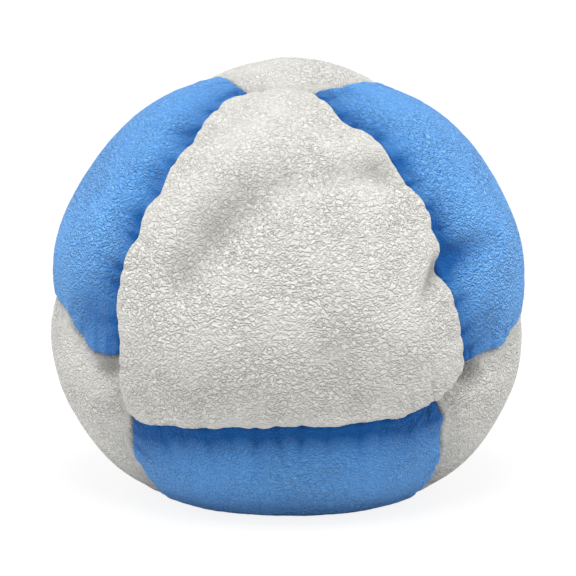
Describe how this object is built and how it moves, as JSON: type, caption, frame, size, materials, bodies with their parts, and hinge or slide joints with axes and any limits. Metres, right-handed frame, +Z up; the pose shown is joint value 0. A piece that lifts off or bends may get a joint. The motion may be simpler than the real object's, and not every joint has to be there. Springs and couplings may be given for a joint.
{
  "type": "sandbag ball",
  "caption": "Soft sand-filled kick ball sewn from grey and blue suede panels with turned-in seams, sagged onto a flat patch so that it rests where it is put.",
  "frame": {"origin": "middle of the flat patch that the ball rests on", "axes": "+Z up from the table, -Y towards the front grey panel, +X to the right of that panel as it is seen"},
  "size_m": [0.0513, 0.0517, 0.0468],
  "materials": {
    "suede_grey": "napped suede",
    "suede_blue": "napped suede",
    "thread": "twisted",
    "sand": "loose grains"
  },
  "bodies": {
    "root": {"grey_front_panel": "suede_grey", "grey_top_rear_panel": "suede_grey", "grey_left_rear_panel": "suede_grey", "grey_right_rear_panel": "suede_grey", "blue_upper_left_panel": "suede_blue", "blue_upper_right_panel": "suede_blue", "blue_bottom_panel": "suede_blue", "blue_rear_panel": "suede_blue", "thread_grey_front_to_blue_upper_left": "thread", "thread_grey_front_to_blue_upper_right": "thread", "thread_grey_front_to_blue_bottom": "thread", "thread_grey_top_rear_to_blue_upper_left": "thread", "thread_grey_top_rear_to_blue_upper_right": "thread", "thread_grey_top_rear_to_blue_rear": "thread", "thread_grey_left_rear_to_blue_upper_left": "thread", "thread_grey_left_rear_to_blue_bottom": "thread", "thread_grey_left_rear_to_blue_rear": "thread", "thread_grey_right_rear_to_blue_upper_right": "thread", "thread_grey_right_rear_to_blue_bottom": "thread", "thread_grey_right_rear_to_blue_rear": "thread", "thread_grey_front_to_grey_top_rear": "thread", "thread_grey_front_to_grey_left_rear": "thread", "thread_grey_front_to_grey_right_rear": "thread", "thread_grey_left_rear_to_grey_right_rear": "thread", "thread_grey_top_rear_to_grey_left_rear": "thread", "thread_grey_top_rear_to_grey_right_rear": "thread", "sand_fill": "sand"}
  },
  "joints": []
}
